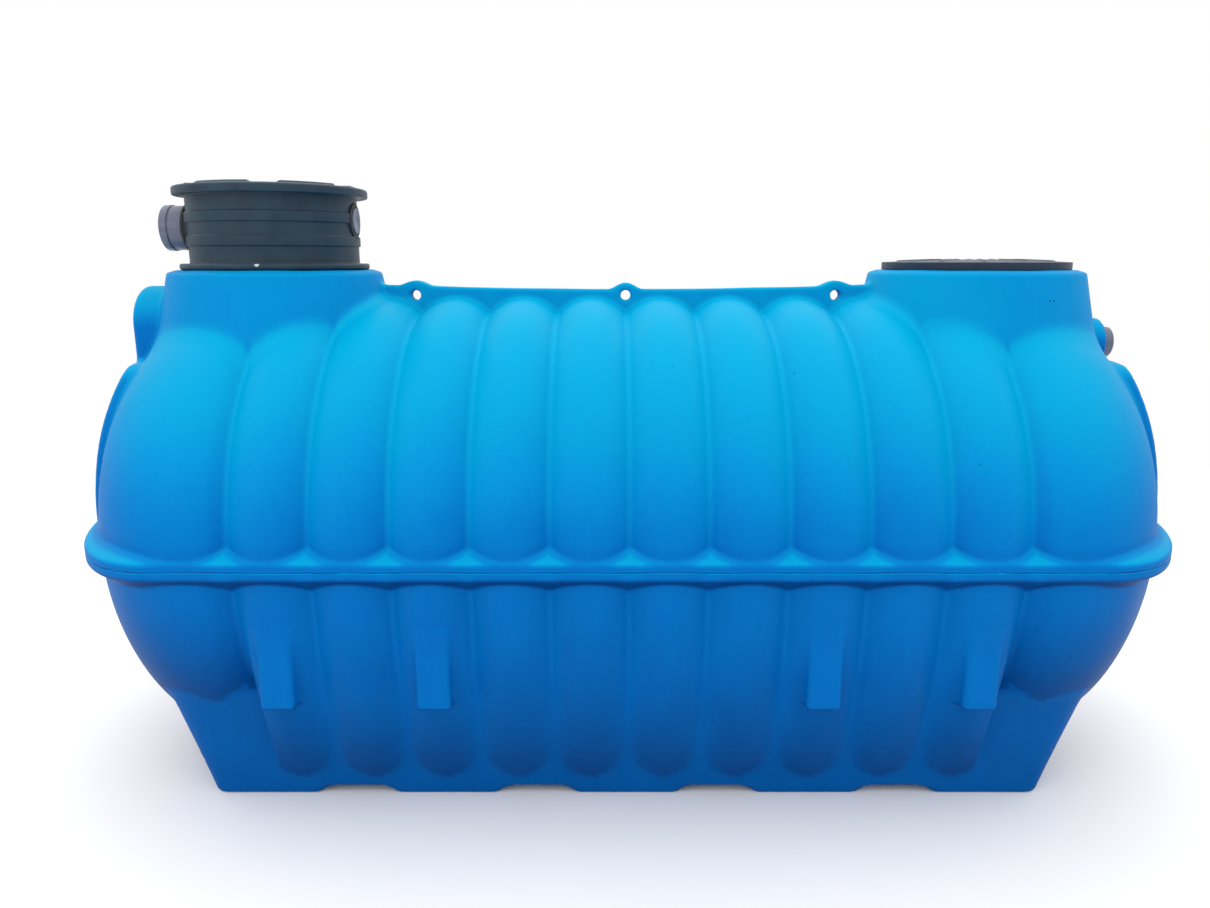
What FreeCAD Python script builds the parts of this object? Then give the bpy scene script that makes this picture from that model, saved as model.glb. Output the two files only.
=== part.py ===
import FreeCAD, Part
import math
import os

V = FreeCAD.Vector

# Rainwater tank lying on its own feet. Millimetres, +X along the tank, +Z up,
# origin on the ground under the middle of the base.

# Moulded body
rib_pitch = 200.0
rib_depth = 43.0
valley_radius = 20.0
ribs_per_side = 5
wall = 12.0
parting_height = 709.0
crown_rise = 12.0
upper_radius = 615.0
end_length = 392.0

# Lower half: side walls lean in towards the base, ribs get shallower downwards
lower_step = 10.0
crest_sweep = 1384.0
valley_sweep = 1533.0
lower_end_length = 400.0
lower_end_depth = 690.0
end_blend_length = 100.0
end_blend_reach = 0.69
end_blend_lean = 0.6
wall_foot = 40.0
skin_margin = 30.0
skin_rows = 9
skin_steps = 12
skin_probe = 0.5

# Base tray on five feet
base_overhang = 38.0
base_side_inset = 177.0
base_height = 345.0
base_end_flare = 112.0
base_side_flare = 20.0
base_corner_radius = 30.0
base_edge_radius = 10.0
channel_height = 24.0
channel_top_width = 162.0
channel_bottom_width = 220.0
channel_first = 250.0
channel_spacing = 500.0

# Flange where the two halves meet
flange_lip = 8.0
flange_end_setback = 68.0
flange_end_lip = 21.0
flange_half_height = 21.0
flange_shoulder_rise = 20.0
flange_shoulder_run = 60.0
flange_edge_radius = 6.0
parting_edge_radius = 1.5

# Necks over the two openings
neck_shift = 12.0
neck_top_radius = 295.0
neck_rise = 74.0
neck_depth = 420.0
neck_draft = 12.0
neck_collar = 140.0
seat_rise = 8.0
seat_width = 25.0
opening_inset = 70.0

# Lifting web between the necks
web_thickness = 40.0
web_end_rise = 41.0
web_mid_rise = 27.0
web_root = 84.0
web_bite = 15.0
eye_offset = 610.0
eye_rise = 9.0
eye_bore_radius = 14.0
eye_lobe_radius = 42.0
mid_eye_lobe_radius = 36.0
lobe_blend_radius = 60.0

# Raised panels on the two ends
panel_rise = 28.0
panel_half_width = 250.0
panel_height = 457.0
panel_corner_radius = 40.0

# Bosses for the connections
boss_root = 100.0
inlet_boss_radius = 112.0
inlet_boss_drop = 150.0
inlet_boss_reach = 61.0
inlet_boss_leg = 300.0
inlet_boss_edge = 18.0
outlet_boss_radius = 71.0
outlet_boss_drop = 202.0
outlet_boss_reach = 40.0
outlet_boss_edge = 10.0
outlet_pipe_radius = 45.0
outlet_pipe_out = 32.0
outlet_pipe_in = 60.0
pipe_wall = 4.0
seal_thickness = 8.0
outlet_seal_lip = 4.0

# Lashing pads on the ribs
pad_ribs = (2, 4)
pad_width = 87.0
pad_inset = 15.0
pad_depth = 120.0
pad_bottom = 330.0
pad_height = 215.0
pad_edge_radius = 10.0

# Riser on the left neck
riser_radius = 232.0
riser_wall = 8.0
riser_foot_width = 27.5
riser_foot_thickness = 17.0
riser_height = 212.0
riser_band_rise = 5.0
riser_band_width = 29.0
riser_band_first = 64.0
riser_band_spacing = 64.0
riser_rim_width = 18.0
riser_rim_thickness = 10.0

# Lid on the riser, with raised treads round its edge
lid_clearance = 1.0
lid_lip = 12.5
lid_skirt = 23.0
lid_thickness = 12.0
lid_crown = 4.0
lid_crown_run = 30.0
tread_count = 6
tread_height = 5.0
tread_width = 34.0
tread_angle = 38.0

# Stubs through the riser wall
inlet_pipe_radius = 62.0
inlet_pipe_offset = 117.0
inlet_pipe_out = 74.0
inlet_seal_lip = 12.0
bead_rise = 2.5
bead_length = 23.0
service_radius = 36.0
service_offset = 137.0
service_seal_width = 14.0
service_seal_lip = 3.0
service_cap_lip = 6.0
service_cap_thickness = 4.0
stub_inside = 25.0

# Lid on the right neck, with low spokes
neck_lid_radius = 257.0
neck_lid_thickness = 19.0
neck_lid_crown = 10.0
neck_lid_bevel = 6.0
neck_lid_bevel_run = 40.0
neck_lid_spigot = 14.0
spoke_count = 12
spoke_width = 14.0
spoke_height = 3.0
spoke_length = 110.0

# Sizes that follow from those above
half_pitch = rib_pitch / 2.0
barrel_end = ribs_per_side * rib_pitch
end_crest = barrel_end + half_pitch
rib_turn = 2.0 * math.atan2(rib_depth, half_pitch)
crest_radius = half_pitch / math.sin(rib_turn) - valley_radius
upper_axis = parting_height + crown_rise
crown_height = upper_axis + upper_radius
lower_half_width = upper_radius - lower_step
base_half_length = end_crest + base_overhang
base_half_width = lower_half_width - base_side_inset
flange_half_width = upper_radius + flange_lip
flange_end_centre = end_crest + flange_end_setback
flange_end_length = end_length + flange_end_lip - flange_end_setback
neck_offset = barrel_end + neck_shift
neck_top_height = crown_height + neck_rise
neck_slope = math.tan(math.radians(neck_draft))
seat_height = neck_top_height + seat_rise
seat_radius = neck_top_radius - seat_width
opening_radius = neck_top_radius - opening_inset
eye_height = crown_height + eye_rise
panel_top = parting_height + panel_height
inlet_boss_height = neck_top_height - inlet_boss_drop
inlet_boss_face = neck_offset + neck_top_radius + neck_slope * inlet_boss_drop + inlet_boss_reach
outlet_boss_height = neck_top_height - outlet_boss_drop
outlet_boss_face = neck_offset + neck_top_radius + neck_slope * outlet_boss_drop + outlet_boss_reach
pad_face = lower_half_width - pad_inset
riser_x = -neck_offset
riser_inner = riser_radius - riser_wall
riser_rim_radius = riser_radius + riser_rim_width
riser_lid_radius = riser_rim_radius + lid_clearance + lid_lip
far = 4.0 * end_crest
tiny = 1e-6


def box(x0, x1, y0, y1, z0, z1):
    return Part.makeBox(x1 - x0, y1 - y0, z1 - z0, V(x0, y0, z0))


def flip_x(shape):
    return shape.mirror(V(0, 0, 0), V(1, 0, 0))


def flip_y(shape):
    return shape.mirror(V(0, 0, 0), V(0, 1, 0))


def save(name, shape):
    solids = shape.Solids
    if len(solids) == 1:
        shape = solids[0]
    if len(solids) != 1 or not shape.isValid():
        print("look at", name, "solids", len(solids), "valid", shape.isValid())
    shape.exportStep("parts/" + name + ".step")


def polygon(points):
    return Part.makePolygon(points + [points[0]])


def edges_where(shape, test):
    """Edges of a shape whose ends and middle all pass a test."""
    found = []
    for edge in shape.Edges:
        middle = edge.valueAt((edge.FirstParameter + edge.LastParameter) / 2)
        points = [v.Point for v in edge.Vertexes] + [middle]
        if all(test(p) for p in points):
            found.append(edge)
    return found


def rib_edges(x0, x1, radius, inset):
    """Plan of the front side from the valley at x0 to the valley at x1, set in by inset."""
    edges = []
    count = int(round((x1 - x0) / rib_pitch))
    half = rib_turn / 2.0
    s = math.sin(rib_turn)
    c = math.cos(rib_turn)
    low = radius - rib_depth
    r_crest = crest_radius - inset
    r_valley = valley_radius + inset
    y_crest = crest_radius - radius
    y_valley = -low - valley_radius
    for i in range(count):
        a = x0 + i * rib_pitch
        m = a + half_pitch
        b = a + rib_pitch
        p0 = V(a, inset - low, 0)
        p1 = V(a + r_valley * math.sin(half), y_valley + r_valley * math.cos(half), 0)
        p2 = V(m - r_crest * s, y_crest - r_crest * c, 0)
        p3 = V(m, inset - radius, 0)
        p4 = V(m + r_crest * s, y_crest - r_crest * c, 0)
        p5 = V(b - r_valley * math.sin(half), y_valley + r_valley * math.cos(half), 0)
        p6 = V(b, inset - low, 0)
        edges.append(Part.Arc(p0, p1, p2).toShape())
        edges.append(Part.Arc(p2, p3, p4).toShape())
        edges.append(Part.Arc(p4, p5, p6).toShape())
    return edges


def end_edges(radius, inset, length):
    """Plan of the front of the right-hand end: half a rib, then a quarter ellipse."""
    half = rib_turn / 2.0
    low = radius - rib_depth
    r_crest = crest_radius - inset
    r_valley = valley_radius + inset
    y_crest = crest_radius - radius
    y_valley = -low - valley_radius
    p0 = V(barrel_end, inset - low, 0)
    p1 = V(barrel_end + r_valley * math.sin(half), y_valley + r_valley * math.cos(half), 0)
    p2 = V(end_crest - r_crest * math.sin(rib_turn), y_crest - r_crest * math.cos(rib_turn), 0)
    p3 = V(end_crest - r_crest * math.sin(half), y_crest - r_crest * math.cos(half), 0)
    p4 = V(end_crest, inset - radius, 0)
    tip = V(end_crest + length - inset, 0, 0)
    dome = Part.Ellipse(p4, tip, V(end_crest, 0, 0))
    return [
        Part.Arc(p0, p1, p2).toShape(),
        Part.Arc(p2, p3, p4).toShape(),
        Part.ArcOfEllipse(dome, 0, math.pi / 2).toShape(),
        Part.makeLine(tip, V(barrel_end, 0, 0)),
        Part.makeLine(V(barrel_end, 0, 0), p0),
    ]


def upper_half(edges):
    """Half turn of a plan about the upper axis, and straight down from there to the parting plane."""
    plan = Part.Face(Part.Wire(Part.__sortEdges__(edges)))
    drop = V(0, 0, -crown_rise)
    shape = plan.revolve(V(0, 0, 0), V(-1, 0, 0), 180)
    shape = shape.fuse([plan.extrude(drop), flip_y(plan).extrude(drop)]).removeSplitter()
    shape.translate(V(0, 0, upper_axis))
    return shape


def barrel(x0, x1, inset):
    """Upper barrel between two valleys, solid to its axis."""
    edges = rib_edges(x0, x1, upper_radius, inset)
    first = V(x0, inset - upper_radius + rib_depth, 0)
    last = V(x1, inset - upper_radius + rib_depth, 0)
    edges.append(Part.makeLine(last, V(x1, 0, 0)))
    edges.append(Part.makeLine(V(x1, 0, 0), V(x0, 0, 0)))
    edges.append(Part.makeLine(V(x0, 0, 0), first))
    return upper_half(edges)


def upper_end(grow, inset):
    """Right-hand end of the upper half, solid, grown outwards or set in."""
    return upper_half(end_edges(upper_radius + grow, inset, end_length + grow))


def lower_end(inset):
    """Right-hand end of the lower half: a half turn drawn out downwards."""
    plan = Part.Face(Part.Wire(Part.__sortEdges__(end_edges(lower_half_width, inset, lower_end_length))))
    stretch = FreeCAD.Matrix()
    stretch.scale(V(1, 1, lower_end_depth / lower_half_width))
    shape = plan.revolve(V(0, 0, 0), V(1, 0, 0), 180).transformGeometry(stretch)
    shape.translate(V(0, 0, parting_height))
    return shape


def rib_share(x):
    """0 on a rib's crest, 1 in a valley, along the corrugated line."""
    d = abs(x - rib_pitch * round(x / rib_pitch))
    reach = valley_radius * math.sin(rib_turn)
    if d <= reach:
        drop = rib_depth - valley_radius + math.sqrt(valley_radius ** 2 - d ** 2)
    else:
        e = half_pitch - d
        drop = crest_radius - math.sqrt(crest_radius ** 2 - e ** 2)
    return drop / rib_depth


def swept(start, sweep, h):
    return start - sweep + math.sqrt(sweep ** 2 - h ** 2)


def half_width(x, z):
    """Half width of the lower barrel at x and height z."""
    h = abs(parting_height - z)
    crest = swept(lower_half_width, crest_sweep, h)
    valley = swept(lower_half_width - rib_depth, valley_sweep, h)
    width = crest + (valley - crest) * rib_share(x)
    t = (abs(x) - barrel_end + end_blend_length) / end_blend_length
    if t > 0:
        t = min(t, 1.0)
        share = t * t * (3 - 2 * t)
        a = lower_half_width - rib_depth
        c = a * lower_end_depth / lower_half_width
        bend = min(h, end_blend_reach * c)
        low = a * math.sqrt(1 - (bend / c) ** 2)
        low = low - (h - bend) * end_blend_lean
        width = width - share * (valley - low)
    return width


def side_solid(x0, x1, inset):
    """Front half of the lower barrel from x0 to x1, solid to the middle."""
    row_gap = (parting_height + 2 * skin_margin - wall_foot) / (skin_rows - 1)
    rows = [parting_height + skin_margin - i * row_gap for i in range(skin_rows)]
    steps = int(round((x1 - x0) / rib_pitch)) * skin_steps
    step = (x1 - x0) / steps
    e = skin_probe
    grid = []
    for i in range(-2, steps + 3):
        x = x0 + i * step
        line = []
        for z in rows:
            w = half_width(x, z)
            wx = (half_width(x + e, z) - half_width(x - e, z)) / (2 * e)
            wz = (half_width(x, z + e) - half_width(x, z - e)) / (2 * e)
            n = math.sqrt(1 + wx * wx + wz * wz)
            line.append(V(x + inset * wx / n, -w + inset / n, z + inset * wz / n))
        grid.append(line)
    skin = Part.BSplineSurface()
    skin.interpolate(grid)
    solid = skin.toShape().extrude(V(0, far, 0))
    return solid.common(box(x0, x1, -far, 0, wall_foot, parting_height))


def rounded_plan(half_x, half_y, radius, z):
    """Rectangle with round corners at height z."""
    r = radius
    k = r * (1 - math.sqrt(0.5))
    arcs = []
    for sx, sy in [(1, 1), (-1, 1), (-1, -1), (1, -1)]:
        a = V(sx * half_x, sy * (half_y - r), z)
        m = V(sx * (half_x - k), sy * (half_y - k), z)
        b = V(sx * (half_x - r), sy * half_y, z)
        if sx * sy < 0:
            a, b = b, a
        arcs.append((a, m, b))
    wire = []
    for i, (a, m, b) in enumerate(arcs):
        wire.append(Part.Arc(a, m, b).toShape())
        wire.append(Part.makeLine(b, arcs[(i + 1) % 4][0]))
    return Part.Wire(wire)


def base_block(inset, floor):
    """Tapered block of the base, set in by inset, from height floor up."""
    t = floor / base_height
    low = rounded_plan(base_half_length + base_end_flare * t - inset,
                       base_half_width + base_side_flare * t - inset,
                       base_corner_radius - inset, floor)
    high = rounded_plan(base_half_length + base_end_flare - inset,
                        base_half_width + base_side_flare - inset,
                        base_corner_radius - inset, base_height)
    return Part.makeLoft([low, high], True, True)


def channel(x):
    """Channel across the base between two feet, as the space it leaves."""
    wide = channel_bottom_width / 2
    narrow = channel_top_width / 2
    outline = polygon([V(x - wide, -far, -wall), V(x + wide, -far, -wall), V(x + wide, -far, 0),
                       V(x + narrow, -far, channel_height), V(x - narrow, -far, channel_height),
                       V(x - wide, -far, 0)])
    return Part.Face(outline).extrude(V(0, 2 * far, 0))


def stadium(inset, z):
    """Flange outline: straight sides, elliptical ends."""
    half = flange_half_width - inset
    length = flange_end_length - inset
    right = Part.Ellipse(V(flange_end_centre, half, z), V(flange_end_centre + length, 0, z),
                         V(flange_end_centre, 0, z))
    left = Part.Ellipse(V(-flange_end_centre, half, z), V(-flange_end_centre - length, 0, z),
                        V(-flange_end_centre, 0, z))
    edges = [
        Part.ArcOfEllipse(right, 0, math.pi).toShape(),
        Part.ArcOfEllipse(left, 0, math.pi).toShape(),
        Part.makeLine(V(-flange_end_centre, half, z), V(flange_end_centre, half, z)),
        Part.makeLine(V(-flange_end_centre, -half, z), V(flange_end_centre, -half, z)),
    ]
    return Part.Wire(Part.__sortEdges__(edges))


def flange_half(sign):
    """Half of the flange: a band with eased edges and a shoulder sloping to the body."""
    z1 = parting_height + sign * flange_half_height
    z2 = z1 + sign * flange_shoulder_rise
    band = Part.Face(stadium(0, parting_height)).extrude(V(0, 0, sign * flange_half_height))
    band = band.makeFillet(parting_edge_radius, edges_where(band, lambda p: abs(p.z - parting_height) < tiny))
    shoulder = Part.makeLoft([stadium(0, z1), stadium(flange_shoulder_run, z2)], True, True)
    shape = band.fuse(shoulder).removeSplitter()
    return shape.makeFillet(flange_edge_radius, edges_where(shape, lambda p: abs(p.z - z1) < tiny))


def neck_cone(inset):
    """Neck outline with draft, solid, from inside the body to the neck's top."""
    top = neck_top_radius - inset
    foot = V(neck_offset, 0, neck_top_height - neck_depth)
    return Part.makeCone(top + neck_slope * neck_depth, top, neck_depth, foot)


def neck_ring():
    """Top of the neck: crowned ring with the seat, round the opening."""
    z0 = neck_top_height - wall
    points = [
        (opening_radius, z0),
        (neck_top_radius + neck_slope * wall, z0),
        (neck_top_radius, neck_top_height),
        (seat_radius, seat_height),
        (opening_radius, seat_height),
    ]
    return turned(points, neck_offset, 0)


def rod(radius, x0, x1, z):
    return Part.makeCylinder(radius, x1 - x0, V(x0, 0, z), V(1, 0, 0))


def tube(outer, inner, x0, x1, z):
    return rod(outer, x0, x1, z).cut(rod(inner, x0 - wall, x1 + wall, z))


def arch(radius, x0, x1, z):
    """Upright prism along X with a round top centred at height z."""
    legs = box(x0, x1, -radius, radius, z - inlet_boss_leg, z)
    return rod(radius, x0, x1, z).fuse(legs).removeSplitter()


def turned(points, x, z):
    """Solid of revolution about a vertical axis at x, from points of radius and height above z."""
    wire = polygon([V(r, 0, h) for r, h in points])
    shape = Part.Face(wire).revolve(V(0, 0, 0), V(0, 0, 1), 360)
    shape.translate(V(x, 0, z))
    return shape


def web_plate():
    """Lifting web: a long plate with three eyes in rounded lobes."""
    y = -web_thickness / 2
    low = crown_height - rib_depth - web_root
    reach = neck_offset - neck_top_radius + web_bite
    end_z = crown_height + web_end_rise
    mid_z = crown_height + web_mid_rise
    part_z = (end_z + 2 * mid_z) / 3
    top = [V(-reach, y, end_z), V(-reach / 2, y, part_z), V(0, y, mid_z), V(reach / 2, y, part_z),
           V(reach, y, end_z)]
    curve = Part.BSplineCurve()
    curve.interpolate(top)
    edges = [curve.toShape(),
             Part.makeLine(top[-1], V(reach, y, low)),
             Part.makeLine(V(reach, y, low), V(-reach, y, low)),
             Part.makeLine(V(-reach, y, low), top[0])]
    plate = Part.Face(Part.Wire(Part.__sortEdges__(edges))).extrude(V(0, web_thickness, 0))
    eyes = [(-eye_offset, eye_lobe_radius), (0, mid_eye_lobe_radius), (eye_offset, eye_lobe_radius)]
    for x, r in eyes:
        plate = plate.fuse(Part.makeCylinder(r, web_thickness, V(x, y, eye_height), V(0, 1, 0)))
    plate = plate.removeSplitter()
    for x, r in eyes:
        foot = edges_where(plate, lambda p: abs(p.distanceToPoint(V(x, p.y, eye_height)) - r) < 0.01)
        foot = [e for e in foot if e.BoundBox.XLength < 0.01 and e.BoundBox.ZMin > eye_height]
        plate = plate.makeFillet(lobe_blend_radius, foot)
    for x, r in eyes:
        hole = Part.makeCylinder(eye_bore_radius, 2 * web_thickness, V(x, 2 * y, eye_height), V(0, 1, 0))
        plate = plate.cut(hole)
    return plate


def end_panel():
    """Raised panel on the right-hand dome, from the flange up."""
    ball = Part.makeSphere(upper_radius + panel_rise, V(0, 0, 0), V(0, 1, 0))
    stretch = FreeCAD.Matrix()
    stretch.scale(V((end_length + panel_rise) / (upper_radius + panel_rise), 1, 1))
    skin = ball.transformGeometry(stretch)
    skin.translate(V(end_crest, 0, upper_axis))
    z0 = parting_height + flange_half_height
    outline = box(end_crest, far, -panel_half_width, panel_half_width, z0, panel_top)
    corners = edges_where(outline, lambda p: p.z > panel_top - tiny and abs(p.y) > panel_half_width - tiny)
    return skin.common(outline.makeFillet(panel_corner_radius, corners))


def boss_face(solid, x, z, radius):
    """Ease the outer edge of a boss's face at x, but not across its foot at height z."""
    edges = edges_where(solid, lambda p: abs(p.x - x) < tiny)
    edges = [e for e in edges if e.BoundBox.ZMax > z + tiny]
    return solid.makeFillet(radius, edges)


def pad(x):
    """Lashing pad on the crest at x, front side: eased along its two sides and its foot."""
    block = box(x - pad_width / 2, x + pad_width / 2, -pad_face, -pad_face + pad_depth,
                pad_bottom, pad_bottom + pad_height)
    face = edges_where(block, lambda p: abs(p.y + pad_face) < tiny and p.z < pad_bottom + pad_height + tiny)
    face = [e for e in face if e.BoundBox.ZMin < pad_bottom + pad_height - tiny]
    return block.makeFillet(pad_edge_radius, face)


def riser_body():
    """Riser: foot, banded tube and rim, turned about the left neck's axis."""
    ro = riser_radius
    points = [(riser_inner, 0), (ro + riser_foot_width, 0), (ro + riser_foot_width, riser_foot_thickness),
              (ro, riser_foot_thickness)]
    for i in range(2):
        z = riser_band_first + i * riser_band_spacing
        points.append((ro, z))
        points.append((ro + riser_band_rise, z + riser_band_rise))
        points.append((ro + riser_band_rise, z + riser_band_width - riser_band_rise))
        points.append((ro, z + riser_band_width))
    points.append((ro, riser_height - riser_rim_thickness))
    points.append((riser_rim_radius, riser_height - riser_rim_thickness))
    points.append((riser_rim_radius, riser_height))
    points.append((riser_inner, riser_height))
    return turned(points, riser_x, seat_height)


def riser_lid():
    """Skirted lid, its crown and the treads round it."""
    skirt_inner = riser_rim_radius + lid_clearance
    top = riser_height + lid_thickness
    crown = top + lid_crown
    flat = riser_lid_radius - lid_crown_run
    points = [(0, riser_height), (skirt_inner, riser_height), (skirt_inner, top - lid_skirt),
              (riser_lid_radius, top - lid_skirt), (riser_lid_radius, top), (flat, crown), (0, crown)]
    lid = turned(points, 0, 0)
    section = polygon([V(flat - tread_width, 0, top), V(flat, 0, top), V(flat, 0, crown + tread_height),
                       V(flat - tread_width, 0, crown + tread_height)])
    tread = Part.Face(section).revolve(V(0, 0, 0), V(0, 0, 1), tread_angle)
    for i in range(tread_count):
        piece = tread.copy()
        piece.rotate(V(0, 0, 0), V(0, 0, 1), i * 360.0 / tread_count - tread_angle / 2)
        lid = lid.fuse(piece)
    lid = lid.removeSplitter()
    lid.translate(V(riser_x, 0, seat_height))
    return lid


def neck_lid():
    """Lid with a spigot in the neck's opening, bevelled edge and low spokes."""
    spigot = opening_radius - lid_clearance
    flat = neck_lid_radius - neck_lid_bevel_run
    edge = neck_lid_thickness
    crown = edge + neck_lid_crown
    points = [(0, -neck_lid_spigot), (spigot, -neck_lid_spigot), (spigot, 0), (neck_lid_radius, 0),
              (neck_lid_radius, edge), (flat, edge + neck_lid_bevel), (0, crown)]
    lid = turned(points, 0, 0)
    for i in range(spoke_count):
        spoke = box(flat - spoke_length, flat, -spoke_width / 2, spoke_width / 2, 0, crown + spoke_height)
        spoke.rotate(V(0, 0, 0), V(0, 0, 1), (i + 0.5) * 360.0 / spoke_count)
        lid = lid.fuse(spoke)
    lid = lid.removeSplitter()
    lid.translate(V(neck_offset, 0, seat_height))
    return lid


os.makedirs("parts", exist_ok=True)

# Whole outlines of the two halves, used to trim what sits on them
upper_barrel = barrel(-barrel_end, barrel_end, 0)
upper_end_outer = upper_end(0, 0)
lower_end_outer = lower_end(0)
base_outer = base_block(0, 0)
cone_outer = neck_cone(0)
cone_inner = neck_cone(wall)
boss_start = end_crest - boss_root
inlet_boss_inner = arch(inlet_boss_radius - wall, boss_start, inlet_boss_face - wall, inlet_boss_height)
inlet_boss_inner = flip_x(inlet_boss_inner)
outlet_boss_inner = rod(outlet_boss_radius - wall, boss_start, outlet_boss_face - wall, outlet_boss_height)
outlet_hole = rod(outlet_pipe_radius + seal_thickness, boss_start, far, outlet_boss_height)

# Upper half: five spans of the barrel, split in the valleys, and the two ends
outer_split = (ribs_per_side - 2) * rib_pitch
inner_split = outer_split - 2 * rib_pitch
spans = [("upper_shell_left", -barrel_end, -outer_split),
         ("upper_shell_left_middle", -outer_split, -inner_split),
         ("upper_shell_middle", -inner_split, inner_split),
         ("upper_shell_right_middle", inner_split, outer_split),
         ("upper_shell_right", outer_split, barrel_end)]
for name, x0, x1 in spans:
    shape = barrel(x0, x1, 0).cut(barrel(x0, x1, wall))
    save(name, shape.cut(cone_inner).cut(flip_x(cone_inner)))
end_shell = upper_end_outer.cut(upper_end(0, wall)).cut(cone_inner)
save("upper_end_right", end_shell.cut(outlet_boss_inner).cut(outlet_hole))
save("upper_end_left", flip_x(end_shell).cut(inlet_boss_inner))

# Base tray
tray = base_outer.makeFillet(base_edge_radius, edges_where(base_outer, lambda p: abs(p.z) < tiny))
tray = tray.cut(base_block(wall, channel_height + wall))
for offset in (channel_first, channel_first + channel_spacing):
    tray = tray.cut(channel(offset)).cut(channel(-offset))
save("base_tray", tray)

# Lower half: side walls in three pieces each, then the ends
wall_split = 2 * rib_pitch
left_outer = side_solid(-barrel_end, -wall_split, 0)
middle_outer = side_solid(-wall_split, wall_split, 0)
left_wall = left_outer.cut(side_solid(-barrel_end, -wall_split, wall)).cut(base_outer)
middle_wall = middle_outer.cut(side_solid(-wall_split, wall_split, wall)).cut(base_outer)
save("front_wall_left", left_wall)
save("front_wall_middle", middle_wall)
save("front_wall_right", flip_x(left_wall))
save("rear_wall_left", flip_y(left_wall))
save("rear_wall_middle", flip_y(middle_wall))
save("rear_wall_right", flip_x(flip_y(left_wall)))
lower_shell = lower_end_outer.cut(lower_end(wall)).cut(base_outer)
save("lower_end_right", lower_shell)
save("lower_end_left", flip_x(lower_shell))

# Flange, upper and lower half
upper_band = flange_half(1)
upper_flange = upper_band
for tool in (upper_barrel, upper_end_outer, flip_x(upper_end_outer)):
    upper_flange = upper_flange.cut(tool)
save("upper_flange", upper_flange)
lower_flange = flange_half(-1)
for tool in (left_outer, middle_outer, flip_x(left_outer), lower_end_outer, flip_x(lower_end_outer)):
    lower_flange = lower_flange.cut(tool)
for tool in (left_outer, middle_outer, flip_x(left_outer)):
    lower_flange = lower_flange.cut(flip_y(tool))
save("lower_flange", lower_flange)

# Necks; the right one is a collar with the seat, on a skirt round the outlet
neck = cone_outer.cut(cone_inner).fuse(neck_ring()).removeSplitter()
neck = neck.cut(upper_barrel).cut(upper_end_outer)
neck_right = neck.cut(outlet_boss_inner).cut(outlet_hole)
collar_zone = box(-far, far, -far, far, neck_top_height - neck_collar, far)
save("neck_right", neck_right.common(collar_zone))
save("neck_right_skirt", neck_right.cut(collar_zone))
save("neck_left", flip_x(neck).cut(inlet_boss_inner))

# Lifting web
web = web_plate()
for tool in (upper_barrel, cone_outer, flip_x(cone_outer)):
    web = web.cut(tool)
save("lifting_web", web)

# End panels
panel = end_panel().cut(upper_end_outer).cut(upper_band)
save("end_panel_right", panel.cut(outlet_hole))
save("end_panel_left", flip_x(panel))

# Bosses
inlet_boss = arch(inlet_boss_radius, boss_start, inlet_boss_face, inlet_boss_height)
inlet_boss = boss_face(inlet_boss, inlet_boss_face, inlet_boss_height - inlet_boss_leg, inlet_boss_edge)
inlet_boss = flip_x(inlet_boss).cut(inlet_boss_inner)
for tool in (upper_end_outer, cone_outer, panel):
    inlet_boss = inlet_boss.cut(flip_x(tool))
save("inlet_boss", inlet_boss)
outlet_boss = rod(outlet_boss_radius, boss_start, outlet_boss_face, outlet_boss_height)
outlet_boss = boss_face(outlet_boss, outlet_boss_face, 0, outlet_boss_edge)
outlet_boss = outlet_boss.cut(outlet_boss_inner)
for tool in (upper_end_outer, cone_outer, panel, outlet_hole):
    outlet_boss = outlet_boss.cut(tool)
save("outlet_boss", outlet_boss)
save("outlet_seal", tube(outlet_pipe_radius + seal_thickness, outlet_pipe_radius,
                         outlet_boss_face - wall, outlet_boss_face + outlet_seal_lip, outlet_boss_height))
save("outlet_pipe", tube(outlet_pipe_radius, outlet_pipe_radius - pipe_wall,
                         outlet_boss_face - outlet_pipe_in, outlet_boss_face + outlet_pipe_out,
                         outlet_boss_height))

# Lashing pads
for n, rib in enumerate(pad_ribs):
    left_pad = pad(-rib * rib_pitch - half_pitch).cut(left_outer)
    for side, shape in (("left", left_pad), ("right", flip_x(left_pad))):
        save("front_pad_%s_%d" % (side, n + 1), shape)
        save("rear_pad_%s_%d" % (side, n + 1), flip_y(shape))

# Riser and its lid
inlet_z = seat_height + inlet_pipe_offset
service_z = seat_height + service_offset
inlet_hole = inlet_pipe_radius + seal_thickness
service_hole = service_radius + service_seal_width
riser = riser_body()
riser = riser.cut(rod(inlet_hole, riser_x - far, riser_x, inlet_z))
riser = riser.cut(rod(service_hole, riser_x, riser_x + far, service_z))
save("riser", riser)
save("riser_lid", riser_lid())

# Inlet socket through the riser's left side
inlet_inside = riser_x - riser_inner + stub_inside
inlet_end = riser_x - riser_radius - inlet_pipe_out
inlet_bore = inlet_pipe_radius - pipe_wall
save("inlet_seal", tube(inlet_hole, inlet_pipe_radius, riser_x - riser_radius - inlet_seal_lip,
                        inlet_inside, inlet_z))
pipe = tube(inlet_pipe_radius, inlet_bore, inlet_end, inlet_inside, inlet_z)
bead = tube(inlet_pipe_radius + bead_rise, inlet_bore, inlet_end, inlet_end + bead_length, inlet_z)
save("inlet_pipe", pipe.fuse(bead).removeSplitter())

# Capped service stub through its right side
service_inside = riser_x + riser_inner - stub_inside
service_end = riser_x + riser_radius + service_cap_lip
save("service_seal", tube(service_hole, service_radius, service_inside,
                          riser_x + riser_radius + service_seal_lip, service_z))
stub = rod(service_radius, service_inside, service_end, service_z)
service_bore = service_radius - pipe_wall
hollow = rod(service_bore, service_inside - wall, service_end - service_cap_thickness, service_z)
save("service_stub", stub.cut(hollow))

# Lid on the right neck
save("neck_lid", neck_lid())
print("built")
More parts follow.
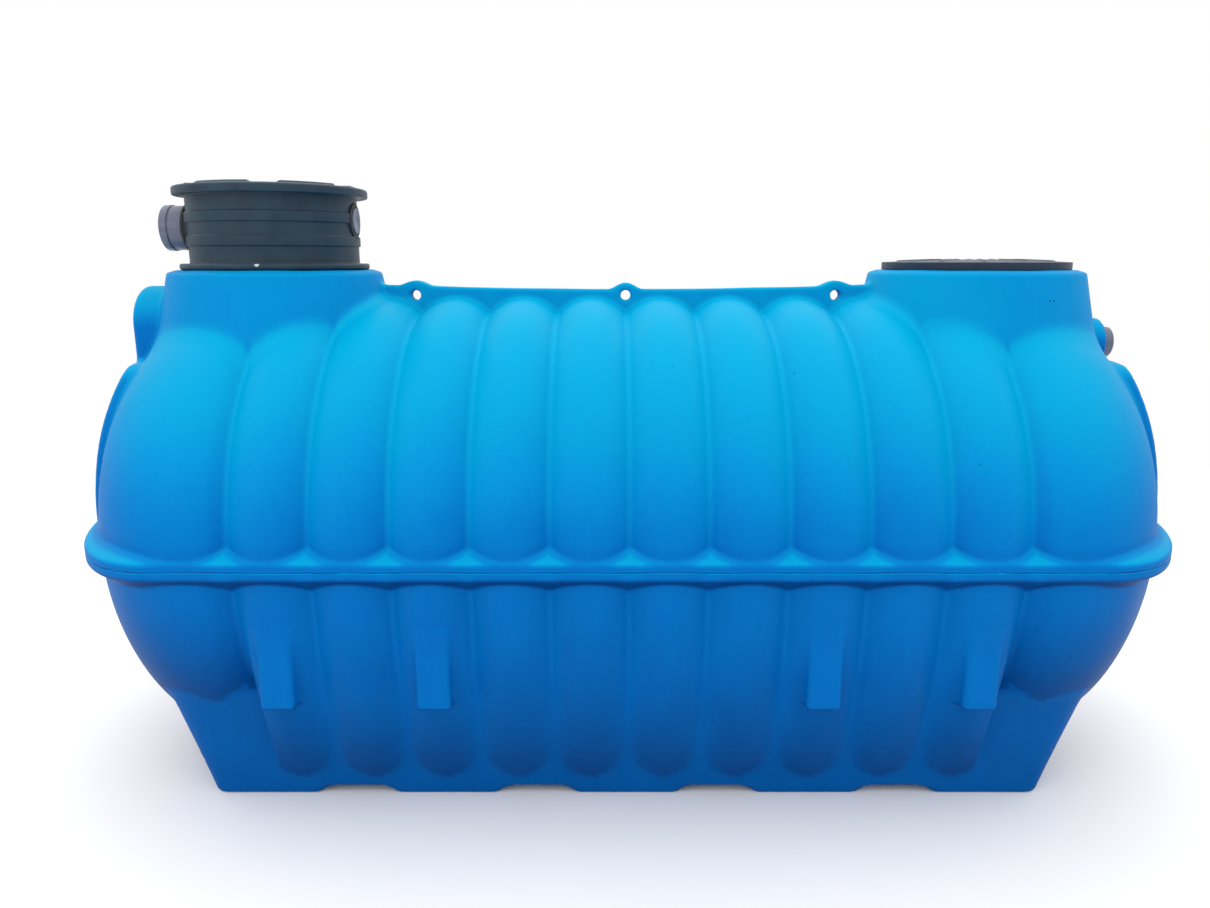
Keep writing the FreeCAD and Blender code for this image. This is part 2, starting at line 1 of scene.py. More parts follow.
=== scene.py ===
import math
import bpy
import numpy as np
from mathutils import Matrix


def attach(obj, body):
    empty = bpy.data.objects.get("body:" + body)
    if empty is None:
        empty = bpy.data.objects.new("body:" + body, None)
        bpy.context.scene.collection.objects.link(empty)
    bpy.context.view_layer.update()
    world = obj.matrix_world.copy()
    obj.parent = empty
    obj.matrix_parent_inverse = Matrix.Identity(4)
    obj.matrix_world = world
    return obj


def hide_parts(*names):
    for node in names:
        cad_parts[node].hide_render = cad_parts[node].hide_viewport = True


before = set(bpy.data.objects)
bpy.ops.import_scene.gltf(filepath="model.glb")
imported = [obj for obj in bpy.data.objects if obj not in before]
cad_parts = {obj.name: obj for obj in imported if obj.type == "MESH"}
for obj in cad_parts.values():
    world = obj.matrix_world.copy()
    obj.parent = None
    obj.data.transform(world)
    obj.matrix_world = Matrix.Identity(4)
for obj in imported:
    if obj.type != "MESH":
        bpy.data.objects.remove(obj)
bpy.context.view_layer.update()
print("frame loaded:", len(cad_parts), "solids")

mm = 0.001  # sizes below are in millimetres, the scene is in metres
tiny = 1e-6  # keeps divisions clear of zero


def linearColour(hexText):  # sRGB hex to the linear values that the shaders use
    channels = [int(hexText[i:i + 2], 16) / 255 for i in (1, 3, 5)]
    return tuple(c / 12.92 if c <= 0.04045 else ((c + 0.055) / 1.055) ** 2.4 for c in channels) + (1.0,)


def addNode(tree, kind, settings=None, links=None):
    node = tree.nodes.new("ShaderNode" + kind)
    for name, value in (settings or {}).items():
        if isinstance(name, str) and hasattr(node, name):
            setattr(node, name, value)
        else:
            node.inputs[name].default_value = value
    for name, socket in (links or {}).items():
        tree.links.new(socket, node.inputs[name])
    return node


def newMaterial(name, settings):
    material = bpy.data.materials.new(name)
    material.use_nodes = True
    shader = material.node_tree.nodes["Principled BSDF"]
    for socket, value in settings.items():
        shader.inputs[socket].default_value = value
    return material, material.node_tree, shader


def perMetre(sizeMm):  # texture scale for a feature of that size
    return 1000.0 / sizeMm


def span(fromPair=(0, 1), toPair=(0, 1)):  # what a map range reads and gives
    return dict(zip(("From Min", "From Max", "To Min", "To Max"), (*fromPair, *toPair)))


noiseSpan = (0.3, 0.7)  # most of a noise lies between these
mixShare, mixFrom, mixTo, mixed = 0, 6, 7, 2  # sockets of a colour mix: three that go in, one that comes out
spotEdge = {"core": 0.6, "cover": (0.85, 0)}


def spotOn(tree, place, colour, spot):  # a small mark at one place, fading at its edge
    radius = spot["radius"] * mm
    away = addNode(tree, "VectorMath", {"operation": "DISTANCE", 1: [c * mm for c in spot["at"]]}, {0: place})
    near = addNode(tree, "MapRange", span((spotEdge["core"] * radius, radius), spotEdge["cover"]),
                   {"Value": away.outputs["Value"]})
    mark = addNode(tree, "Mix", {"data_type": "RGBA", mixTo: linearColour(spot["colour"])},
                   {mixShare: near.outputs[0], mixFrom: colour})
    return mark.outputs[mixed]


# Polyethylene powder melted on the inside of a hot mould. The eye gets one dense sky blue, satin rather than
# glossy, with painted light (paler facing up) and painted shade (deeper facing down), run marks down the
# sides and a faint orange peel.
def rotomouldedPolyethylene():
    look = {"blues": ((-0.55, "#003C7A"), (-0.40, "#004A8D"), (-0.25, "#0058A1"), (-0.10, "#0065B1"),
                      (0.15, "#0074BD"), (0.35, "#0087C6"), (0.60, "#0098CB"), (0.95, "#00A3CF")),
            "mottleMm": 240, "mottleTone": (-0.02, 0.02), "satin": (0.40, 0.50),
            "streakMm": (16, 16, 900), "streakSpan": (0.25, 0.75), "streakTone": (-0.015, 0.015),
            "rub": "#03407F", "rubMm": (5, 90, 26), "rubSlant": (0.5, 0.3, 0.4), "rubSpan": (0.66, 0.76),
            "rubCover": (0, 0.35), "patchMm": 330, "patchSpan": (0.52, 0.66),
            "speck": "#08294A", "speckMm": 120, "speckEdge": (0.012, 0.028), "speckCover": (0.7, 0),
            "knocks": ((1100.5, -297, 1340.5), (1112.5, -292, 1340.5)), "knockRadius": 3.5,
            "peelMm": 9, "peelStrength": 0.10, "peelDeep": 0.6}
    material, tree, shader = newMaterial("rotomouldedPolyethylene", {"IOR": 1.51, "Specular IOR Level": 0.03})
    place = addNode(tree, "TexCoord").outputs["Object"]
    low, high = look["blues"][0][0], look["blues"][-1][0]
    # the paintedLight attribute is painted light where the skin faces up and painted shade where it faces
    # down
    paintedLightAttribute = addNode(tree, "Attribute", {"attribute_name": "paintedLight"})
    paintedLight = addNode(tree, "MapRange", span((low, high)), {"Value": paintedLightAttribute.outputs["Fac"]})
    mottle = addNode(tree, "TexNoise", {"Scale": perMetre(look["mottleMm"]), "Detail": 4.0},
                     {"Vector": place})
    mottled = addNode(tree, "MapRange", span(noiseSpan, look["mottleTone"]), {"Value": mottle.outputs["Fac"]})
    runs = addNode(tree, "Mapping", {"Scale": [perMetre(s) for s in look["streakMm"]]}, {"Vector": place})
    streak = addNode(tree, "TexNoise", {"Scale": 1.0, "Detail": 3.0}, {"Vector": runs.outputs[0]})
    streaked = addNode(tree, "MapRange", span(look["streakSpan"], look["streakTone"]),
                       {"Value": streak.outputs["Fac"]})
    marks = addNode(tree, "Math", {"operation": "ADD"}, {0: mottled.outputs[0], 1: streaked.outputs[0]})
    tone = addNode(tree, "Math", {"operation": "ADD", "use_clamp": True},
                   {0: paintedLight.outputs[0], 1: marks.outputs[0]})
    # the blue ramp paints light and shade: deep blue where the skin faces down, pale blue where it faces up
    blue = addNode(tree, "ValToRGB", links={0: tone.outputs[0]})
    stops = blue.color_ramp.elements
    while len(stops) < len(look["blues"]):
        stops.new(0.5)
    for stop, (facing, hexText) in zip(stops, look["blues"]):
        stop.position = (facing - low) / (high - low)
        stop.color = linearColour(hexText)
    # rubbed places: thin slanting marks, only here and there
    slanted = {"Rotation": look["rubSlant"], "Scale": [perMetre(s) for s in look["rubMm"]]}
    slant = addNode(tree, "Mapping", slanted, {"Vector": place})
    rub = addNode(tree, "TexNoise", {"Scale": 1.0, "Detail": 5.0, "Roughness": 0.6},
                  {"Vector": slant.outputs[0]})
    rubbed = addNode(tree, "MapRange", span(look["rubSpan"], look["rubCover"]), {"Value": rub.outputs["Fac"]})
    patch = addNode(tree, "TexNoise", {"Scale": perMetre(look["patchMm"]), "Detail": 2.0}, {"Vector": place})
    patched = addNode(tree, "MapRange", span(look["patchSpan"]), {"Value": patch.outputs["Fac"]})
    rubShare = addNode(tree, "Math", {"operation": "MULTIPLY"}, {0: rubbed.outputs[0], 1: patched.outputs[0]})
    worn = addNode(tree, "Mix", {"data_type": "RGBA", mixTo: linearColour(look["rub"])},
                   {mixShare: rubShare.outputs[0], mixFrom: blue.outputs[0]})
    # a few specks of grit melted into the skin
    grit = addNode(tree, "TexVoronoi", {"Scale": perMetre(look["speckMm"])}, {"Vector": place})
    gritty = addNode(tree, "MapRange", span(look["speckEdge"], look["speckCover"]),
                     {"Value": grit.outputs["Distance"]})
    skin = addNode(tree, "Mix", {"data_type": "RGBA", mixTo: linearColour(look["speck"])},
                   {mixShare: gritty.outputs[0], mixFrom: worn.outputs[mixed]})
    colour = skin.outputs[mixed]
    for knock in look["knocks"]:  # two small knocks on the right neck
        spot = {"at": knock, "radius": look["knockRadius"], "colour": look["speck"]}
        colour = spotOn(tree, place, colour, spot)
    tree.links.new(colour, shader.inputs["Base Color"])
    satin = addNode(tree, "MapRange", span(noiseSpan, look["satin"]), {"Value": mottle.outputs["Fac"]})
    tree.links.new(satin.outputs[0], shader.inputs["Roughness"])
    # real peel is 3 mm across, drawn three times as coarse so that it shows
    peel = addNode(tree, "TexNoise", {"Scale": perMetre(look["peelMm"]), "Detail": 2.0}, {"Vector": place})
    bump = addNode(tree, "Bump", {"Strength": look["peelStrength"], "Distance": look["peelDeep"] * mm},
                   {"Height": peel.outputs["Fac"]})
    tree.links.new(bump.outputs[0], shader.inputs["Normal"])
    return material


# Polyethylene shot into a polished tool, then left in the yard. Dark slate blue and satin,
# with dust on its ledges.
def injectionMouldedSlate(name, dark, light, dust, nick=None):
    look = {"blotchMm": 70, "filmMm": (90, 90, 4), "ledgeSpan": (0.35, 0.95), "dustCover": (0, 0.35),
            "satin": (0.36, 0.56), "grainMm": 5, "grainStrength": 0.12, "grainDeep": 0.5}
    material, tree, shader = newMaterial(name, {"IOR": 1.51, "Specular IOR Level": 0.3})
    place = addNode(tree, "TexCoord").outputs["Object"]
    facing = addNode(tree, "SeparateXYZ", links={0: addNode(tree, "NewGeometry").outputs["Normal"]})
    blotch = addNode(tree, "TexNoise", {"Scale": perMetre(look["blotchMm"]), "Detail": 4.0},
                     {"Vector": place})
    spread = addNode(tree, "MapRange", span(noiseSpan), {"Value": blotch.outputs["Fac"]})
    body = addNode(tree, "Mix", {"data_type": "RGBA", mixFrom: linearColour(dark),
                                 mixTo: linearColour(light)}, {mixShare: spread.outputs[0]})
    level = addNode(tree, "Mapping", {"Scale": [perMetre(s) for s in look["filmMm"]]}, {"Vector": place})
    film = addNode(tree, "TexNoise", {"Scale": 1.0, "Detail": 3.0}, {"Vector": level.outputs[0]})
    ledge = addNode(tree, "MapRange", span(look["ledgeSpan"], look["dustCover"]),
                    {"Value": facing.outputs["Z"]})
    dusty = addNode(tree, "Math", {"operation": "MULTIPLY"}, {0: ledge.outputs[0], 1: film.outputs["Fac"]})
    dusted = addNode(tree, "Mix", {"data_type": "RGBA", mixTo: linearColour(dust)},
                     {mixShare: dusty.outputs[0], mixFrom: body.outputs[mixed]})
    colour = dusted.outputs[mixed]
    if nick:
        colour = spotOn(tree, place, colour, nick)
    tree.links.new(colour, shader.inputs["Base Color"])
    satin = addNode(tree, "MapRange", span(toPair=look["satin"]), {"Value": film.outputs["Fac"]})
    tree.links.new(satin.outputs[0], shader.inputs["Roughness"])
    grain = addNode(tree, "TexNoise", {"Scale": perMetre(look["grainMm"]), "Detail": 2.0}, {"Vector": place})
    bump = addNode(tree, "Bump", {"Strength": look["grainStrength"], "Distance": look["grainDeep"] * mm},
                   {"Height": grain.outputs["Fac"]})
    tree.links.new(bump.outputs[0], shader.inputs["Normal"])
    return material


# Unplasticised PVC drawn through a die: even lilac grey, a little glossier, with fine lines along the pipe.
def extrudedPvc():
    look = {"dark": "#565B70", "light": "#686D84", "lightSpan": (0.1, 0.45), "gloss": (0.28, 0.44),
            "lineMm": (300, 5, 5), "lineStrength": 0.08, "lineDeep": 0.4, "smudgeMm": 45}
    material, tree, shader = newMaterial("extrudedPvc", {"IOR": 1.53})
    place = addNode(tree, "TexCoord").outputs["Object"]
    along = addNode(tree, "Mapping", {"Scale": [perMetre(s) for s in look["lineMm"]]}, {"Vector": place})
    lines = addNode(tree, "TexNoise", {"Scale": 1.0, "Detail": 2.0}, {"Vector": along.outputs[0]})
    smudge = addNode(tree, "TexNoise", {"Scale": perMetre(look["smudgeMm"]), "Detail": 3.0},
                     {"Vector": place})
    share = addNode(tree, "Math", {"operation": "MULTIPLY", "use_clamp": True},
                    {0: lines.outputs["Fac"], 1: smudge.outputs["Fac"]})
    spread = addNode(tree, "MapRange", span(look["lightSpan"]), {"Value": share.outputs[0]})
    grey = addNode(tree, "Mix", {"data_type": "RGBA", mixFrom: linearColour(look["dark"]),
                                 mixTo: linearColour(look["light"])}, {mixShare: spread.outputs[0]})
    tree.links.new(grey.outputs[mixed], shader.inputs["Base Color"])
    gloss = addNode(tree, "MapRange", span(toPair=look["gloss"]), {"Value": smudge.outputs["Fac"]})
    tree.links.new(gloss.outputs[0], shader.inputs["Roughness"])
    bump = addNode(tree, "Bump", {"Strength": look["lineStrength"], "Distance": look["lineDeep"] * mm},
                   {"Height": lines.outputs["Fac"]})
    tree.links.new(bump.outputs[0], shader.inputs["Normal"])
    return material


# EPDM rubber pressed in a mould: almost black, dull, with a bloom that greys it in patches.
def mouldedEpdm():
    look = {"black": "#0B0F18", "bloom": "#252B38", "bloomMm": 18, "bloomSpan": (0.42, 0.75),
            "bloomCover": (0, 0.7), "dull": (0.5, 0.75)}
    material, tree, shader = newMaterial("mouldedEpdm", {"IOR": 1.52})
    place = addNode(tree, "TexCoord").outputs["Object"]
    bloom = addNode(tree, "TexNoise", {"Scale": perMetre(look["bloomMm"]), "Detail": 4.0}, {"Vector": place})
    spread = addNode(tree, "MapRange", span(look["bloomSpan"], look["bloomCover"]),
                     {"Value": bloom.outputs["Fac"]})
    black = addNode(tree, "Mix", {"data_type": "RGBA", mixFrom: linearColour(look["black"]),
                                  mixTo: linearColour(look["bloom"])}, {mixShare: spread.outputs[0]})
    tree.links.new(black.outputs[mixed], shader.inputs["Base Color"])
    dull = addNode(tree, "MapRange", span(toPair=look["dull"]), {"Value": bloom.outputs["Fac"]})
    tree.links.new(dull.outputs[0], shader.inputs["Roughness"])
    return material


footNick = {"at": (-976, -257, 1434), "radius": 7.5, "colour": "#D8DCDD"}  # a pale nick on the riser's foot
bluePlastic = rotomouldedPolyethylene()
riserPlastic = injectionMouldedSlate("injectionMouldedRiser", "#142B3B", "#1F3949", "#4E5E68", footNick)
lidPlastic = injectionMouldedSlate("injectionMouldedLid", "#182638", "#223246", "#5C6A79")
greyPipe = extrudedPvc()
blackRubber = mouldedEpdm()
print("materials made")


def addPiece(name, points, faces, material, nodes):
    mesh = bpy.data.meshes.new(name)
    places = [tuple(p) for p in np.asarray(points) * mm]
    mesh.from_pydata(places, [], [tuple(int(i) for i in f) for f in faces])
    mesh.materials.append(material)
    mesh.polygons.foreach_set("use_smooth", [True] * len(mesh.polygons))
    mesh.update()
    piece = bpy.data.objects.new(name, mesh)
    bpy.context.scene.collection.objects.link(piece)
    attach(piece, "root")
    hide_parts(*nodes)
    return piece


# The blue body is drawn as one field: below zero inside the plastic, above zero outside.
# Forms are joined with a round of radius r, as a mould maker blends them.
def joinSoft(a, b, r):
    return np.maximum(r, np.minimum(a, b)) - np.hypot(np.maximum(r - a, 0), np.maximum(r - b, 0))


def meetSoft(a, b, r):  # what two forms share, with its edge rounded
    return np.minimum(-r, np.maximum(a, b)) + np.hypot(np.maximum(r + a, 0), np.maximum(r + b, 0))


hull = {"ribPitch": 197, "ribDepth": 40, "valleyRadius": 12, "barrelEnd": 985, "endCrest": 1083.5,
        "parting": 709, "axis": 721, "upperRadius": 615, "upperEnd": 408.5,
        "lowerHalf": 605, "lowerEnd": 416.5, "lowerDepth": 690, "crestSweep": 1384, "valleySweep": 1533,
        "endBlend": 40, "bendShare": 0.69, "bendLean": 0.6, "sunkFoot": 40}


def ribLine(x):  # how far the corrugation dips below its crests, and its slope
    turn = 2 * math.atan2(hull["ribDepth"], hull["ribPitch"] / 2)
    valley = hull["valleyRadius"]
    crest = hull["ribPitch"] / 2 / math.sin(turn) - valley
    d = np.abs(x - hull["ribPitch"] * np.round(x / hull["ribPitch"]))
    e = hull["ribPitch"] / 2 - d
    low = np.sqrt(np.maximum(valley ** 2 - d * d, 1))
    high = np.sqrt(np.maximum(crest ** 2 - e * e, 1))
    inValley = d < valley * math.sin(turn)
    drop = np.where(inValley, hull["ribDepth"] - valley + low, crest - high)
    return drop, np.where(inValley, d / low, e / high)


def ellipsoidField(out, length, rho, radius):
    k0 = np.hypot(out / length, rho / radius)
    k1 = np.hypot(out / length ** 2, rho / radius ** 2)
    return k0 * (k0 - 1) / np.maximum(k1, tiny)


def ribbedDome(x, rho, radius, length):  # ribs along the barrel, then a smooth end
    drop, slope = ribLine(x)
    barrel = (rho - radius + drop) / np.sqrt(1 + slope ** 2)
    out = np.maximum(np.abs(x) - hull["endCrest"], 0)
    return np.where(np.abs(x) > hull["endCrest"], ellipsoidField(out, length, rho, radius), barrel)


def upperHull(x, y, z):
    rho = np.hypot(y, np.maximum(z - hull["axis"], 0))
    return ribbedDome(x, rho, hull["upperRadius"], hull["upperEnd"])


def lowerHull(x, y, z):
    h = np.abs(hull["parting"] - z)
    crest = hull["lowerHalf"] - hull["crestSweep"] + np.sqrt(hull["crestSweep"] ** 2 - h * h)
    valleyTop = hull["lowerHalf"] - hull["ribDepth"]
    valley = valleyTop - hull["valleySweep"] + np.sqrt(hull["valleySweep"] ** 2 - h * h)
    drop, slope = ribLine(x)
    wide = crest + (valley - crest) * drop / hull["ribDepth"]
    # towards the ends the last rib turns in to meet the domed end
    t = np.clip((np.abs(x) - hull["barrelEnd"] + hull["endBlend"]) / hull["endBlend"], 0, 1)
    deep = valleyTop * hull["lowerDepth"] / hull["lowerHalf"]
    bend = np.minimum(h, hull["bendShare"] * deep)
    turned = valleyTop * np.sqrt(1 - (bend / deep) ** 2) - (h - bend) * hull["bendLean"]
    wide = wide - t * t * (3 - 2 * t) * (valley - turned)
    lean = (slope * (crest - valley) / hull["ribDepth"]) ** 2 + (h / hull["crestSweep"]) ** 2
    side = np.maximum((np.abs(y) - wide) / np.sqrt(1 + lean), hull["sunkFoot"] - z)
    rho = np.hypot(y, (z - hull["parting"]) * hull["lowerHalf"] / hull["lowerDepth"])
    end = ribbedDome(x, rho, hull["lowerHalf"], hull["lowerEnd"])
    return np.where(np.abs(x) > hull["barrelEnd"], end, side)


def ribbedHull(x, y, z):
    return np.where(z > hull["parting"], upperHull(x, y, z), lowerHull(x, y, z))


neck = {"offset": 1012, "topRadius": 295, "top": 1410, "draft": 12, "seatRise": 8, "seatRun": 25, "edge": 5,
        "root": 1100, "blend": 30}


def neckField(x, y, z):
    s = neck
    r = np.hypot(np.abs(x) - s["offset"], y)
    draft = math.radians(s["draft"])
    side = (r - s["topRadius"] - (s["top"] - z) * math.tan(draft)) * math.cos(draft)
    cap = z - s["top"] - s["seatRise"] * np.clip((s["topRadius"] - r) / s["seatRun"], 0, 1)
    return np.maximum(meetSoft(side, cap, s["edge"]), s["root"] - z)


web = {"half": 20, "midTop": 1363, "endRise": 14, "reach": 732, "root": 1200, "eyeHeight": 1345, "bore": 14,
       "eyes": ((0, 36), (610, 42)), "edge": 7, "boreEdge": 1.5, "lobeBlend": 18, "blend": 13}


def webField(x, y, z):
    s = web
    edge = z - s["midTop"] - s["endRise"] * (x / s["reach"]) ** 2
    for place, lobe in s["eyes"]:
        edge = joinSoft(edge, np.hypot(np.abs(x) - place, z - s["eyeHeight"]) - lobe, s["lobeBlend"])
    plate = meetSoft(np.abs(y) - s["half"], edge, s["edge"])
    plate = np.maximum(plate, np.maximum(np.abs(x) - s["reach"], s["root"] - z))
    for place, lobe in s["eyes"]:
        plate = meetSoft(plate, s["bore"] - np.hypot(np.abs(x) - place, z - s["eyeHeight"]), s["boreEdge"])
    return plate


endPanel = {"rise": 28, "halfWidth": 250, "top": 1166, "foot": 730, "from": 1160, "corner": 40, "edge": 12,
            "blend": 10}


def panelField(x, y, z):
    s = endPanel
    rho = np.hypot(y, np.maximum(z - hull["axis"], 0))
    out = np.maximum(np.abs(x) - hull["endCrest"], 0)
    skin = ellipsoidField(out, hull["upperEnd"] + s["rise"], rho, hull["upperRadius"] + s["rise"])
    outline = meetSoft(np.abs(y) - s["halfWidth"], z - s["top"], s["corner"])
    raised = meetSoft(skin, outline, s["edge"])
    return np.maximum(raised, np.maximum(s["foot"] - z, s["from"] - np.abs(x)))


inletBoss = {"radius": 112, "height": 1260, "face": 1400, "root": 1050, "foot": 1000, "edge": 18, "blend": 14}


def inletField(x, y, z):
    s = inletBoss
    arch = np.where(z > s["height"], np.hypot(y, z - s["height"]), np.abs(y)) - s["radius"]
    boss = meetSoft(arch, -x - s["face"], s["edge"])
    return np.maximum(boss, np.maximum(x + s["root"], s["foot"] - z))


outletBoss = {"radius": 71, "height": 1208, "face": 1390, "root": 1150, "edge": 10, "blend": 12,
              "bore": 53, "boreFloor": 1345, "boreEdge": 2}


def outletField(x, y, z):
    s = outletBoss
    r = np.hypot(y, z - s["height"])
    boss = meetSoft(r - s["radius"], x - s["face"], s["edge"])
    return np.maximum(boss, s["root"] - x)


lashingPad = {"places": (492.5, 886.5), "half": 43.5, "face": 590, "bottom": 330, "top": 545, "root": 470,
              "edge": 8, "blend": 7}


def padField(x, y, z):
    s = lashingPad
    across = np.minimum(*[np.abs(np.abs(x) - place) for place in s["places"]]) - s["half"]
    block = meetSoft(across, np.abs(y) - s["face"], s["edge"])
    block = meetSoft(block, s["bottom"] - z, s["edge"])
    return np.maximum(block, np.maximum(z - s["top"], s["root"] - np.abs(y)))


baseTray = {"halfLength": 1138, "endFlare": 112, "halfWidth": 428, "sideFlare": 6, "leanHeight": 110,
            "sideLean": 66, "leanBlend": 50, "height": 345, "corner": 30, "topCorner": 110, "topEdge": 20,
            "edge": 12, "channels": (247.5, 742.5), "channelTop": 78, "channelFoot": 114, "channelHeight": 24,
            "channelEdge": 6, "blend": 9}


def baseField(x, y, z):
    s = baseTray
    endLean = s["endFlare"] / s["height"]
    end = (np.abs(x) - s["halfLength"] - endLean * z) / math.hypot(1, endLean)
    # the sides stand upright near the ground and lean out higher up
    lowLean = s["sideFlare"] / s["leanHeight"]
    highLean = s["sideLean"] / (s["height"] - s["leanHeight"])
    knee = s["halfWidth"] + s["sideFlare"]
    lowSide = (np.abs(y) - s["halfWidth"] - lowLean * z) / math.hypot(1, lowLean)
    highSide = (np.abs(y) - knee - highLean * (z - s["leanHeight"])) / math.hypot(1, highLean)
    side = joinSoft(lowSide, highSide, s["leanBlend"])
    widening = (s["topCorner"] - s["corner"]) * np.clip(z / s["height"], 0, 1)
    corner = s["corner"] + widening
    block = meetSoft(meetSoft(end, side, corner), -z, s["edge"])
    return meetSoft(block, z - s["height"], s["topEdge"])


def channelField(x, z):
    s = baseTray
    across = np.minimum(*[np.abs(np.abs(x) - place) for place in s["channels"]])
    lean = (s["channelFoot"] - s["channelTop"]) / s["channelHeight"]
    side = (across - s["channelFoot"] + lean * z) / math.hypot(1, lean)
    return meetSoft(side, z - s["channelHeight"], s["channelEdge"])


rimFlange = {"halfWidth": 623, "endCentre": 1168, "endLength": 345, "half": 21, "riseAbove": 33,
             "riseBelow": 43, "run": 60, "edge": 6, "blend": 5, "seamDepth": 2.5, "seamHalf": 1.3,
             "seamEdge": 0.8, "seamWander": 0.9, "seamWaves": (61, 173)}


def flangeField(x, y, z):
    s = rimFlange
    out = np.maximum(np.abs(x) - s["endCentre"], 0)
    end = ellipsoidField(out, s["endLength"], np.abs(y), s["halfWidth"])
    inPlan = np.where(np.abs(x) > s["endCentre"], end, np.abs(y) - s["halfWidth"])
    rise = np.where(z > hull["parting"], s["riseAbove"], s["riseBelow"])
    shoulder = rise * np.clip(-inPlan / s["run"], 0, 1)
    thick = (np.abs(z - hull["parting"]) - s["half"] - shoulder) / np.hypot(1, rise / s["run"])
    band = meetSoft(inPlan, thick, s["edge"])
    # the seam between the mould's halves wanders a little
    short, long = s["seamWaves"]
    wander = hull["parting"] + s["seamWander"] * np.sin(x / short) * np.sin(x / long + 1)
    seam = np.maximum(np.abs(z - wander) - s["seamHalf"], -inPlan - s["seamDepth"])
    return meetSoft(band, -seam, s["seamEdge"])


slump = {"depth": 1.5, "waves": ((310, 0.3), (190, 1.7), (440, 2.9)), "across": 0.7, "up": 0.6,
         "calmFoot": 60}


def slumpField(x, y, z):  # walls cool unevenly and dip by a millimetre or so
    s = slump
    total = 0
    for length, phase in s["waves"]:
        k = 2 * math.pi / length
        acrossWave = np.sin(k * s["across"] * y + 2 * phase)
        upWave = np.sin(k * s["up"] * z + 3 * phase)
        total = total + np.sin(k * x + phase) * acrossWave * upWave
    share = np.clip(0.5 + total / len(s["waves"]), 0, 1) * np.clip(z / s["calmFoot"], 0, 1)
    return s["depth"] * share


def bodyField(x, y, z):
    f = ribbedHull(x, y, z)
    f = joinSoft(f, neckField(x, y, z), neck["blend"])
    f = joinSoft(f, panelField(x, y, z), endPanel["blend"])
    f = joinSoft(f, inletField(x, y, z), inletBoss["blend"])
    f = joinSoft(f, outletField(x, y, z), outletBoss["blend"])
    bore = np.minimum(outletBoss["bore"] - np.hypot(y, z - outletBoss["height"]), x - outletBoss["boreFloor"])
    f = meetSoft(f, bore, outletBoss["boreEdge"])
    f = joinSoft(f, webField(x, y, z), web["blend"])
    f = joinSoft(f, padField(x, y, z), lashingPad["blend"])
    f = f + slumpField(x, y, z)
    f = joinSoft(f, baseField(x, y, z), baseTray["blend"])
    f = meetSoft(f, -channelField(x, z), baseTray["channelEdge"])
    return joinSoft(f, flangeField(x, y, z), rimFlange["blend"])


# The grid's stops are (place, step to the next stop), with close lines where the form turns quickly:
# at the valleys, web, flange and feet.
bodyMesh = {"ribs": 5, "valleyReach": 22, "valleyStep": 5.5, "crestStep": 13.5, "domeStep": 11.5,
            "ends": ((1330, 9.5), (1526, 9.5)), "across": ((0, 5), (35, 12.5), (552, 8.5), (632, 8.5)),
            "up": ((-8, 4), (0, 4), (44, 12.5), (320, 6), (344, 12.5), (640, 6), (700, 3), (706, 1.2),
                   (708.4, 1.2), (709.6, 1.2), (712, 3), (718, 5), (774, 12.5), (1284, 6.5), (1428, 6.5)),
            "slices": 12, "settleRounds": 4, "probe": 0.4, "flattest": 0.05, "farthest": 4}


def gridLine(stops):
    line = [stops[0][0]]
    for (a, step), (b, _) in zip(stops[:-1], stops[1:]):
        n = max(1, round((b - a) / step))
        line += [a + (b - a) * (i + 1) / n for i in range(n)]
    return np.array(line, float)


def bodyGrid():
    pitch, reach = hull["ribPitch"], bodyMesh["valleyReach"]
    along = [(0, bodyMesh["valleyStep"])]
    for i in range(bodyMesh["ribs"]):
        along += [(pitch * i + reach, bodyMesh["crestStep"]),
                  (pitch * (i + 1) - reach, bodyMesh["valleyStep"])]
    along += [(hull["barrelEnd"] + reach, bodyMesh["domeStep"]), *bodyMesh["ends"]]
    right, across = gridLine(along), gridLine(bodyMesh["across"])
    return np.r_[-right[:0:-1], right], np.r_[-across[:0:-1], across], gridLine(bodyMesh["up"])


# One point in each grid cell that the surface crosses, and a face of four round each crossed edge.
def skinOf(field, xs, ys, zs):
    slices = np.array_split(xs, bodyMesh["slices"])
    f = np.concatenate([field(s[:, None, None], ys[None, :, None], zs[None, None, :]) for s in slices])
    inside = f < 0
    shape = np.array(f.shape) - 1
    corners = [(i, j, k) for i in (0, 1) for j in (0, 1) for k in (0, 1)]
    count = sum(inside[i:i + shape[0], j:j + shape[1], k:k + shape[2]].astype(np.int8) for i, j, k in corners)
    cells = np.argwhere((count > 0) & (count < len(corners)))
    index = np.full(shape, -1, np.int64)
    index[tuple(cells.T)] = np.arange(len(cells))
    total, hits = np.zeros((len(cells), 3)), np.zeros((len(cells), 1))
    lines = (xs, ys, zs)
    for a in range(3):
        for corner in [c for c in corners if not c[a]]:
            p = cells + np.array(corner)
            q = p + np.eye(3, dtype=int)[a]
            fp, fq = f[tuple(p.T)], f[tuple(q.T)]
            cross = (fp < 0) != (fq < 0)
            t = np.where(cross, fp / np.where(cross, fp - fq, 1), 0)
            at = np.stack([lines[b][p[:, b]] for b in range(3)], 1)
            at[:, a] += t * (lines[a][q[:, a]] - at[:, a])
            total += at * cross[:, None]
            hits += cross[:, None]
    quads = []
    for a in range(3):
        b, c = (a + 1) % 3, (a + 2) % 3
        e = np.argwhere(np.diff(inside.astype(np.int8), axis=a) != 0)
        e = e[(e[:, b] > 0) & (e[:, c] > 0) & (e[:, b] < shape[b]) & (e[:, c] < shape[c])]
        ring = []
        for db, dc in ((-1, -1), (0, -1), (0, 0), (-1, 0)):
            cell = e.copy()
            cell[:, b] += db
            cell[:, c] += dc
            ring.append(index[tuple(cell.T)])
        ring = np.stack(ring, 1)
        outward = ~inside[tuple(e.T)]
        ring[outward] = ring[outward][:, ::-1]
        quads.append(ring)
    return total / hits, np.concatenate(quads)


